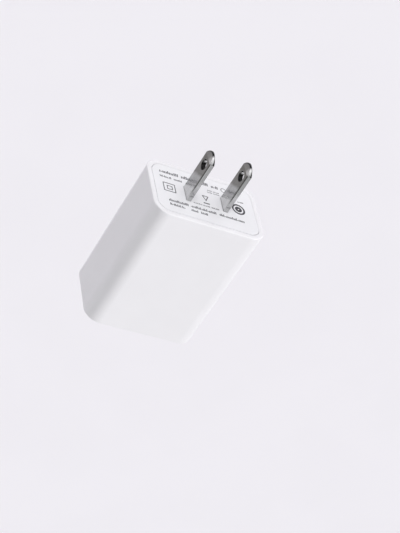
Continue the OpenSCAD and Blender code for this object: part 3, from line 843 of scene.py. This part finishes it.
def make_print():
    """Generic printing: rows of ticks, nested squares, a triangle over a bar, and plain rings."""
    parts = []
    for seed, row in enumerate(PRINT_ROWS_MM, start=FIRST_SEED):
        parts += tick_row(*row, seed)
    parts.append(square_mark(-12.3, -0.4, 4.1, 3.8, 0.28))
    parts.append(square_mark(-12.2, -0.35, 1.9, 1.75, 0.26))
    parts.append(ring_mark(7.4, -7.0, 0.95, 0.22))
    parts.append(ring_mark(11.4, 0.1, 2.3, 0.6))
    parts.append(ring_mark(11.4, 0.1, 1.2, 0.95))
    triangle = [(-1.15, -1.5), (1.15, -1.5), (0.0, 0.95)]
    hollow = [(-0.72, -1.24), (0.72, -1.24), (0.0, 0.3)]
    parts.append(outline_mark([triangle, hollow]))
    parts.append(ink_box(0, 1.9, 2.1, 0.42))
    finish_mesh(joined(parts), "plug_print", INK)


make_print()

# ---------- USB cover ----------


def dish_steps(count=22):
    """Steps from the cover's outer edge down the dish to the edge of the opening."""
    opening = (OPENING_W_MM + 2 * MOUTH_EDGE_MM, OPENING_H_MM + 2 * MOUTH_EDGE_MM, DISH_CORNER_MM)
    outer = (PANEL_W_MM - 2 * LIP_MM, PANEL_H_MM - 2 * LIP_MM, PANEL_R_MM - LIP_MM)
    steps = []
    for i in range(count + 1):
        t = i / count
        fall = min(t / DISH_SPAN, 1)
        depth = DISH_MM * (1 - (1 - fall) ** DISH_CURVE)
        w, h = (a + (b - a) * t for a, b in zip(outer[:2], opening[:2]))
        r = outer[2] + (opening[2] - outer[2]) * t ** DISH_CORNER_POWER
        steps.append((-LENGTH_MM + depth, w, h, r))
    return steps


def snap_arm(x, side):
    """One of the cover's arms, above or below the middle, with the barb at its end."""
    tip_y = usb_high.y / MM
    low_x, high_x = x - ARM_W_MM / 2, x + ARM_W_MM / 2
    inner_z, outer_z = sorted((side * (ARM_Z_MM - ARM_T_MM), side * ARM_Z_MM))
    root_y = PANEL_BACK_MM - ARM_SUNK_MM
    arm = box_mesh((low_x, root_y, inner_z), (high_x, tip_y, outer_z), ARM_ROUND_MM)
    inner_z, outer_z = sorted((side * (ARM_Z_MM + BARB_MM - BARB_T_MM), side * (ARM_Z_MM + BARB_MM)))
    barb = box_mesh((low_x, tip_y - BARB_T_MM, inner_z), (high_x, tip_y, outer_z), ARM_ROUND_MM)
    return [arm, barb]


def make_usb_cover():
    """The dished cover: outer wall, dish, opening and the pocket behind it, with its snap arms."""
    back = PANEL_BACK_MM
    pocket_y = MOUTH_Y_MM - OVERLAP_MM
    edge = (PANEL_W_MM, PANEL_H_MM, PANEL_R_MM)
    opening = (OPENING_W_MM, OPENING_H_MM, OPENING_CORNER_MM)
    nose = (SHELL_W_MM + 2 * NOSE_GAP_MM, SHELL_H_MM + 2 * NOSE_GAP_MM, NOSE_CORNER_MM)
    steps = [(back, *edge)]
    steps += fillet_steps(-LENGTH_MM, *edge, SEAM_EDGE_MM, 1, 1, count=4)
    steps += dish_steps()[:-1]
    steps += reversed(fillet_steps(-LENGTH_MM + DISH_MM, *opening, MOUTH_EDGE_MM, -1, 1, count=4))
    steps += [(pocket_y, *opening), (pocket_y, *nose), (back, *nose)]
    parts = [ring_loft(sleeve_rings(steps, arc=10, side=12))]
    for sx in (-1, 1):
        for sz in (-1, 1):
            parts += snap_arm(sx * ARM_X_MM, sz)
    mesh = joined(parts)
    finish_mesh(mesh, "usb_cover_panel", PANEL_WHITE, nodes=["usb_cover"], sharp=40)


make_usb_cover()

# ---------- blades ----------


ARCH_R_MM = (TIP_MM ** 2 + (BLADE_W_MM / 2) ** 2) / (2 * TIP_MM)


def edge_steps():
    """Steps of (x, inset) across a blade's thickness: a wide rolled edge at -X, a small one at +X."""
    half = BLADE_T_MM / 2
    steps = []
    for i in range(10):
        a = math.radians(10 * i)
        steps.append((-half + NEAR_EDGE_MM * (1 - math.sin(a)), NEAR_EDGE_MM * (1 - math.cos(a))))
    steps.reverse()
    for i in range(4):
        a = math.radians(30 * i)
        steps.append((half - FAR_EDGE_MM * (1 - math.sin(a)), FAR_EDGE_MM * (1 - math.cos(a))))
    return steps


def blade_outline(inset, arc=48):
    """The blade's outline seen along X as (y, z), drawn in by inset: straight sides and an arched tip."""
    half = BLADE_W_MM / 2 - inset
    radius = ARCH_R_MM - inset
    turn = math.degrees(math.asin(half / radius))
    tip = circle_points(BLADE_TIP_MM - ARCH_R_MM, 0, radius, count=arc, start=-turn, sweep=2 * turn)
    return [(BLADE_TAIL_MM, half), (BLADE_TAIL_MM, -half), *tip]


def hole_steps():
    """Steps of (x, radius) through the blade's hole, with a rolled lip at -X."""
    half = BLADE_T_MM / 2
    radius = BLADE_HOLE_MM / 2
    steps = []
    for i in range(8):
        a = math.radians(90 * i / 7)
        steps.append((-half + HOLE_LIP_MM * (1 - math.cos(a)), radius + HOLE_LIP_MM * (1 - math.sin(a))))
    return steps + [(half - FAR_EDGE_MM, radius), (half, radius + FAR_EDGE_MM)]


def add_rings(shape, rings):
    """Lofts the rings of points in millimetres in a bmesh and returns the first and last ring's edges."""
    loops = [[shape.verts.new(Vector(p) * MM) for p in ring] for ring in rings]
    for one, two in zip(loops, loops[1:]):
        for k in range(len(one)):
            n = (k + 1) % len(one)
            shape.faces.new((one[k], one[n], two[n], two[k]))
    ends = (loops[0], loops[-1])
    return [[shape.edges.get((loop[k - 1], loop[k])) for k in range(len(loop))] for loop in ends]


def make_blade(side, node):
    """Stamped blade: rolled edges and hole lip on one face, and a coined tip, thinner past its bevel line."""
    shape = bmesh.new()
    edges = [[(x, y, z) for y, z in blade_outline(inset)] for x, inset in edge_steps()]
    eyes = [[(x, y, z) for y, z in circle_points(BLADE_HOLE_Y_MM, 0, r)] for x, r in hole_steps()]
    outside = add_rings(shape, edges)
    hole = add_rings(shape, eyes)
    for rim, eye in zip(outside, hole):
        bmesh.ops.triangle_fill(shape, edges=rim + eye, use_beauty=True)
    bmesh.ops.recalc_face_normals(shape, faces=shape.faces)
    bevel_y = BLADE_TIP_MM - TIP_MM
    everything = shape.verts[:] + shape.edges[:] + shape.faces[:]
    bmesh.ops.bisect_plane(shape, geom=everything, plane_co=(0, bevel_y * MM, 0), plane_no=(0, 1, 0))
    thinnest = TIP_THICK_MM / BLADE_T_MM
    for v in shape.verts:
        past = (v.co.y / MM - bevel_y) / TIP_MM
        if past > 0:
            v.co.x *= 1 + (thinnest - 1) * min(past, 1)
        v.co.x += side * BLADE_X_MM * MM
    x = side * BLADE_X_MM
    half = BLADE_W_MM / 2 + SHOULDER_MM
    low = (x - BLADE_T_MM / 2, -PLUG_COVER_MM - SHOULDER_L_MM, -half)
    high = (x + BLADE_T_MM / 2, -PLUG_COVER_MM, half)
    parts = [shape, box_mesh(low, high, 0.08)]
    finish_mesh(joined(parts), node + "_plated", NICKEL, nodes=[node], sharp=11)


make_blade(-1, "blade_left")
make_blade(1, "blade_right")

# ---------- USB socket ----------

SHELL_CORNER_MM = 0.5
PORT_CORNER_MM = 0.2
MOUTH_ROUND_MM = 0.1
MOUTH_FLARE_MM = 0.16
SHELL_END_ROUND_MM = 0.05
SPRING_X_MM = 3.1
SPRING_W_MM = 2.0
SPRING_T_MM = 0.24
SPRING_Z_MM = (PORT_H_MM + SHEET_MM) / 2
CONTACTS_X_MM = (-3.5, -1.0, 1.0, 3.5)
CONTACT_W_MM = 1.0
CONTACT_T_MM = 0.2
TONGUE_W_MM = 11.1
TONGUE_LOW_MM = 0.08
TONGUE_HIGH_MM = 1.92
TONGUE_FRONT_MM = 1.0
TONGUE_BEVEL_MM = 0.37
TONGUE_SUNK_MM = 0.14
SLOT_W_MM = 1.2
SLOT_FRONT_MM = 1.6
SLOT_DEPTH_MM = 1.25
PASSAGE_W_MM = 1.06
PASSAGE_H_MM = 0.28
BLOCK_Y_MM = 10.36
BLOCK_L_MM = 3.44
BLOCK_GAP_MM = 0.05
BLOCK_BEVEL_MM = 0.12

# A contact's hinge, crown and tip: how far behind the mouth, and how far above the socket's middle.
CONTACT_HINGE_MM = (10.2, 0.5)
CONTACT_CROWN_MM = (4.0, -0.46)
CONTACT_TIP_MM = (2.16, 0.34)
CONTACT_BEND_MM = 1.1
CONTACT_KNUCKLE_MM = 0.12

SPRING_ROOT_Y_MM = 10.0
SPRING_BEND_MM = 1.2
DIMPLE_MM = 0.54
TIP_DROP_MM = 0.05
WINDOW_FROM_MM = 4.15
WINDOW_TO_MM = 10.25
WINDOW_GAP_MM = 0.2
KNUCKLE_SIDES = 24
TABS_Y_MM = (4.0, 11.5)
TAB_W_MM = 1.6
TAB_TOP_MM = -1.9


def mouth(y):
    """A place y millimetres behind the socket's mouth."""
    return MOUTH_Y_MM + y


def make_shell():
    """Folded sheet tube with rolled mouth edges, windows round the four springs, and board tabs."""
    outer = (SHELL_W_MM, SHELL_H_MM, SHELL_CORNER_MM)
    inner = (PORT_W_MM, PORT_H_MM, PORT_CORNER_MM)
    end = SHELL_END_MM
    steps = []
    steps += reversed(fillet_steps(MOUTH_Y_MM, *outer, MOUTH_ROUND_MM, 1, 1, count=3))
    steps += fillet_steps(end, *outer, SHELL_END_ROUND_MM, 1, -1, count=2)
    steps += reversed(fillet_steps(end, *inner, SHELL_END_ROUND_MM, -1, -1, count=2))
    steps += fillet_steps(MOUTH_Y_MM, *inner, MOUTH_FLARE_MM, -1, 1, count=5)
    tube = ring_loft(sleeve_rings(steps, arc=6))
    open_x = PORT_W_MM / 2 - SHEET_MM
    open_y = mouth(BLOCK_Y_MM + WINDOW_GAP_MM)
    cutters = [box_mesh((-open_x, open_y, -SHELL_H_MM), (open_x, end + 1, 0), 0)]
    half = SPRING_W_MM / 2 + WINDOW_GAP_MM
    for sx in (-1, 1):
        for sz in (-1, 1):
            x = sx * SPRING_X_MM
            low_z, high_z = sorted((sz * (SPRING_Z_MM - 2 * SHEET_MM), sz * (SPRING_Z_MM + 2 * SHEET_MM)))
            low = (x - half, mouth(WINDOW_FROM_MM), low_z)
            high = (x + half, mouth(WINDOW_TO_MM), high_z)
            cutters.append(box_mesh(low, high, 0))
    parts = [cut(tube, cutters)]
    for sx in (-1, 1):
        inside, outside = sorted((sx * PORT_W_MM / 2, sx * SHELL_W_MM / 2))
        for y in TABS_Y_MM:
            low = (inside, mouth(y - TAB_W_MM / 2), shell_low.z / MM)
            high = (outside, mouth(y + TAB_W_MM / 2), TAB_TOP_MM)
            parts.append(box_mesh(low, high, 0.06))
    finish_mesh(joined(parts), "usb_shell_tube", DARK_STEEL_FOR_SHADE, nodes=["usb_shell"])


def make_tongue():
    """Insulator: the block that closes the shell and the tongue with a slot over each contact."""
    wide = PORT_W_MM / 2 - BLOCK_GAP_MM
    tall = PORT_H_MM / 2 - BLOCK_GAP_MM
    front, back = mouth(BLOCK_Y_MM), mouth(BLOCK_Y_MM + BLOCK_L_MM)
    block = box_mesh((-wide, front, -tall), (wide, back, tall), BLOCK_BEVEL_MM)
    low = (-TONGUE_W_MM / 2, mouth(TONGUE_FRONT_MM), TONGUE_LOW_MM)
    high = (TONGUE_W_MM / 2, front + TONGUE_SUNK_MM, TONGUE_HIGH_MM)
    bar = box_mesh(low, high, TONGUE_BEVEL_MM, 5)
    root_z = CONTACT_HINGE_MM[1]
    slots = []
    passages = []
    # the cutters run past the faces that they open
    for x in CONTACTS_X_MM:
        low = (x - SLOT_W_MM / 2, mouth(SLOT_FRONT_MM), TONGUE_LOW_MM - 1)
        high = (x + SLOT_W_MM / 2, front + 1, TONGUE_LOW_MM + SLOT_DEPTH_MM)
        slots.append(box_mesh(low, high, 0))
        low = (x - PASSAGE_W_MM / 2, front - 1, root_z - PASSAGE_H_MM / 2)
        high = (x + PASSAGE_W_MM / 2, back + 1, root_z + PASSAGE_H_MM / 2)
        passages.append(box_mesh(low, high, 0))
    parts = [cut(joined([block]), passages), cut(joined([bar]), slots)]
    finish_mesh(joined(parts), "usb_tongue_body", TONGUE, nodes=["usb_tongue"])


def bent_path(corners, radius, count=6):
    """Points along a line through corners (y, z), each inner corner rounded to radius."""
    path = [Vector(corners[0])]
    for before, here, after in zip(corners, corners[1:], corners[2:]):
        here = Vector(here)
        back = Vector(before) - here
        on = Vector(after) - here
        half = back.angle(on) / 2
        reach = min(radius / math.tan(half), back.length * 0.48, on.length * 0.48)
        start, end = here + back.normalized() * reach, here + on.normalized() * reach
        for i in range(count + 1):
            t = i / count
            path.append(start * (1 - t) ** 2 + here * 2 * t * (1 - t) + end * t ** 2)
    return path + [Vector(corners[-1])]


def strip_rings(path, x, width, thickness, edge=0.04):
    """Rings of a flat strip with rounded edges that follows path in the Y-Z plane."""
    rings = []
    last = len(path) - 1
    for k, point in enumerate(path):
        way = (path[min(k + 1, last)] - path[max(k - 1, 0)]).normalized()
        side = Vector((-way.y, way.x))
        ring = []
        for across, up in rounded_outline(width, thickness, edge, arc=3):
            place = point + side * up
            ring.append((x + across, place.x, place.y))
        rings.append(ring)
    return rings


def knuckle(x, y, z, width, radius):
    """Short round bar along X, at the root of a strip and on its hinge's line."""
    circle = circle_points(y, z, radius, count=KNUCKLE_SIDES)
    rings = [[(end, py, pz) for py, pz in circle] for end in (x - width / 2, x + width / 2)]
    return ring_loft(rings, closed=False, caps=True)


def make_contact(index):
    """Gold-plated spring contact: straight from its root, a smooth crown, and an upturned tip."""
    node = f"usb_contact_{index + 1}"
    x = CONTACTS_X_MM[index]
    corners = [(mouth(y), z) for y, z in (CONTACT_HINGE_MM, CONTACT_CROWN_MM, CONTACT_TIP_MM)]
    path = bent_path(corners, CONTACT_BEND_MM, count=10)
    parts = [
        ring_loft(strip_rings(path, x, CONTACT_W_MM, CONTACT_T_MM), closed=False, caps=True),
        knuckle(x, *corners[0], CONTACT_W_MM, CONTACT_KNUCKLE_MM),
    ]
    finish_mesh(joined(parts), node + "_strip", GOLD, body=node, nodes=[node])


def make_shell_spring(node, sx, sz):
    """Retention spring: flat root, a rounded dimple that reaches into the socket, and a lifted tip."""
    x = sx * SPRING_X_MM
    z = SPRING_Z_MM
    corners = [(SPRING_ROOT_Y_MM, z), (7.2, z), (5.5, z - DIMPLE_MM), (4.42, z - TIP_DROP_MM)]
    path = bent_path([(mouth(y), sz * h) for y, h in corners], SPRING_BEND_MM, count=8)
    parts = [
        ring_loft(strip_rings(path, x, SPRING_W_MM, SPRING_T_MM), closed=False, caps=True),
        knuckle(x, mouth(SPRING_ROOT_Y_MM), sz * z, SPRING_W_MM, SPRING_T_MM / 2),
    ]
    finish_mesh(joined(parts), node + "_strip", DARK_STEEL_FOR_SHADE, body=node, nodes=[node])


make_shell()
make_tongue()
for number in range(4):
    make_contact(number)
for row, upward in (("top", 1), ("bottom", -1)):
    for hand, sideways in (("left", -1), ("right", 1)):
        make_shell_spring(f"shell_spring_{row}_{hand}", sideways, upward)

# ---------- floor, light and world ----------

FLOOR_R = 4.0
FLOOR_DROP = 0.3
FLOOR_Z = casing_low.z - FLOOR_DROP


def make_floor():
    mesh = bpy.data.meshes.new("floor")
    ring = [(x, y, FLOOR_Z) for x, y in circle_points(0, 0, FLOOR_R, count=96)]
    mesh.from_pydata(ring, [], [range(len(ring))])
    floor = bpy.data.objects.new("floor", mesh)
    bpy.context.scene.collection.objects.link(floor)
    g = Graph("floor_paper")
    soft = g.noise(60, detail=2)
    g.base(g.mix(g.ramp(soft, 0.3, 0.7), (0.902, 0.888, 0.916), (0.912, 0.898, 0.926)))
    g.rough(g.ramp(soft, 0.3, 0.7, 0.9, 1.0))
    g.set(Specular_IOR_Level=0.1)
    mesh.materials.append(g.material)


def make_far_light(name, at, strength, degrees, color=(1, 1, 1)):
    """Wide soft light so far off, in the direction of a place, that the whole floor gets it evenly."""
    data = bpy.data.lights.new(name, "SUN")
    data.energy = strength
    data.angle = math.radians(degrees)
    data.color = color
    lamp = bpy.data.objects.new(name, data)
    bpy.context.scene.collection.objects.link(lamp)
    lamp.visible_camera = False
    lamp.location = at
    lamp.rotation_mode = "QUATERNION"
    lamp.rotation_quaternion = (Vector((0, 0, 0)) - Vector(at)).to_track_quat("-Z", "Y")


PLUG_GLOW = 1.2
USB_GLOW = 1.03
UPPER_GLOW = 0.13
LEFT_GLOW = -0.19
RIGHT_GLOW = -0.35
GLOW_TINT = (("Red", 0.99), ("Green", 0.995), ("Blue", 1.015))
LIGHT_TINT = (1, 0.985, 1.01)
BACKDROP = (0.87, 0.855, 0.895, 1)


def make_world():
    """Soft surroundings, brighter beyond both ends and overhead, dimmer at the sides, and a pale backdrop."""
    world = bpy.data.worlds.new("studio")
    bpy.context.scene.world = world
    world.use_nodes = True
    tree = world.node_tree
    back = tree.nodes["Background"]
    place = tree.nodes.new("ShaderNodeTexCoord")
    split = tree.nodes.new("ShaderNodeSeparateXYZ")
    tree.links.new(place.outputs["Generated"], split.inputs[0])

    def step(operation, a, b):
        node = tree.nodes.new("ShaderNodeMath")
        node.operation = operation
        for socket, value in zip(node.inputs, (a, b)):
            if isinstance(value, bpy.types.NodeSocket):
                tree.links.new(value, socket)
            else:
                socket.default_value = value
        return node.outputs[0]

    plug_end = step("MULTIPLY", step("MAXIMUM", split.outputs["Y"], 0), PLUG_GLOW)
    usb_end = step("MULTIPLY", step("MINIMUM", split.outputs["Y"], 0), -USB_GLOW)
    ends = step("ADD", plug_end, usb_end)
    left = step("MULTIPLY", step("MINIMUM", split.outputs["X"], 0), -LEFT_GLOW)
    right = step("MULTIPLY", step("MAXIMUM", split.outputs["X"], 0), RIGHT_GLOW)
    sides = step("ADD", left, right)
    upper = step("ADD", step("MULTIPLY", split.outputs["Z"], UPPER_GLOW), 1)
    glow = step("MAXIMUM", step("MULTIPLY", step("ADD", ends, sides), upper), 0)
    color = tree.nodes.new("ShaderNodeCombineColor")
    for channel, share in GLOW_TINT:
        tree.links.new(step("MULTIPLY", glow, share), color.inputs[channel])
    seen = tree.nodes.new("ShaderNodeLightPath")
    blend = tree.nodes.new("ShaderNodeMix")
    blend.data_type = "RGBA"
    tree.links.new(seen.outputs["Is Camera Ray"], blend.inputs["Factor"])
    tree.links.new(color.outputs[0], blend.inputs[6])
    blend.inputs[7].default_value = BACKDROP
    tree.links.new(blend.outputs[2], back.inputs["Color"])


make_floor()
make_far_light("top_light", (0.0, 0.0, 3.0), strength=0.58, degrees=15, color=LIGHT_TINT)
make_far_light("side_light", (2.25, 0.0, 1.96), strength=1.65, degrees=15, color=LIGHT_TINT)
make_far_light("key_light", (-0.4, 3.0, 0.4), strength=0.68, degrees=19)
make_world()

bpy.context.scene.view_settings.view_transform = "Standard"
bpy.context.scene.view_settings.look = "None"
